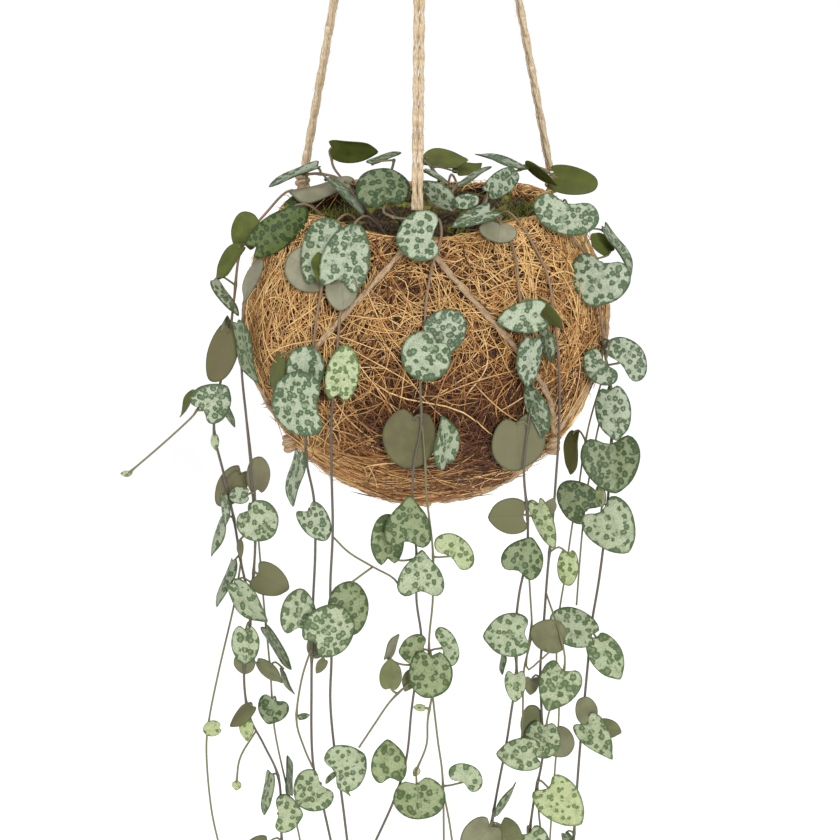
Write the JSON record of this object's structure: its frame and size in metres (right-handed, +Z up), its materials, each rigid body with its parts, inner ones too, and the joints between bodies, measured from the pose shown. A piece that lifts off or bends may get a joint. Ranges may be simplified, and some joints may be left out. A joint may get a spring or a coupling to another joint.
{
  "type": "hanging kokedama plant",
  "caption": "Trailing heart-leaved plant in a coconut-fibre ball with moss at its top, hung by paired jute strands from a knotted hanging loop.",
  "frame": {"origin": "bearing point inside the top of the hanging loop, where a hook carries the part", "axes": "+Z up, front (the side seen in the picture) towards -Y, +X to the right seen from the front"},
  "size_m": [0.2076, 0.1745, 0.5896],
  "materials": {
    "jute": "hairy twisted twine",
    "coir": "matted coarse fibre",
    "soil": "dark moist soil",
    "moss": "green and brown moss",
    "leaf": "fleshy leaf, silver marbling on green above, olive below"
  },
  "bodies": {
    "root": {"leg_front_a": "jute", "leg_front_b": "jute", "rim_knot_front": "jute", "low_knot_front": "jute", "net_cord_front_a": "jute", "net_cord_front_b": "jute", "base_cord_front_a": "jute", "base_cord_front_b": "jute", "leg_right_a": "jute", "leg_right_b": "jute", "rim_knot_right": "jute", "low_knot_right": "jute", "net_cord_right_a": "jute", "net_cord_right_b": "jute", "base_cord_right_a": "jute", "base_cord_right_b": "jute", "leg_left_a": "jute", "leg_left_b": "jute", "rim_knot_left": "jute", "low_knot_left": "jute", "net_cord_left_a": "jute", "net_cord_left_b": "jute", "base_cord_left_a": "jute", "base_cord_left_b": "jute", "base_knot": "jute", "top_knot": "jute", "hanging_loop": "jute", "coir_wrap": "coir", "root_ball": "soil", "moss_top": "moss", "spray_back_right": "leaf", "spray_back_mid_right": "leaf", "spray_back_mid_left": "leaf", "spray_back_left": "leaf", "crown_left": "leaf", "crown_middle": "leaf", "crown_right": "leaf", "spray_far_left": "leaf", "spray_left": "leaf", "spray_front_left_high": "leaf", "spray_front_left_low": "leaf", "spray_front_centre": "leaf", "front_rim_leaf": "leaf", "spray_front_right_high": "leaf", "spray_front_right_low": "leaf", "spray_right": "leaf"}
  },
  "joints": []
}
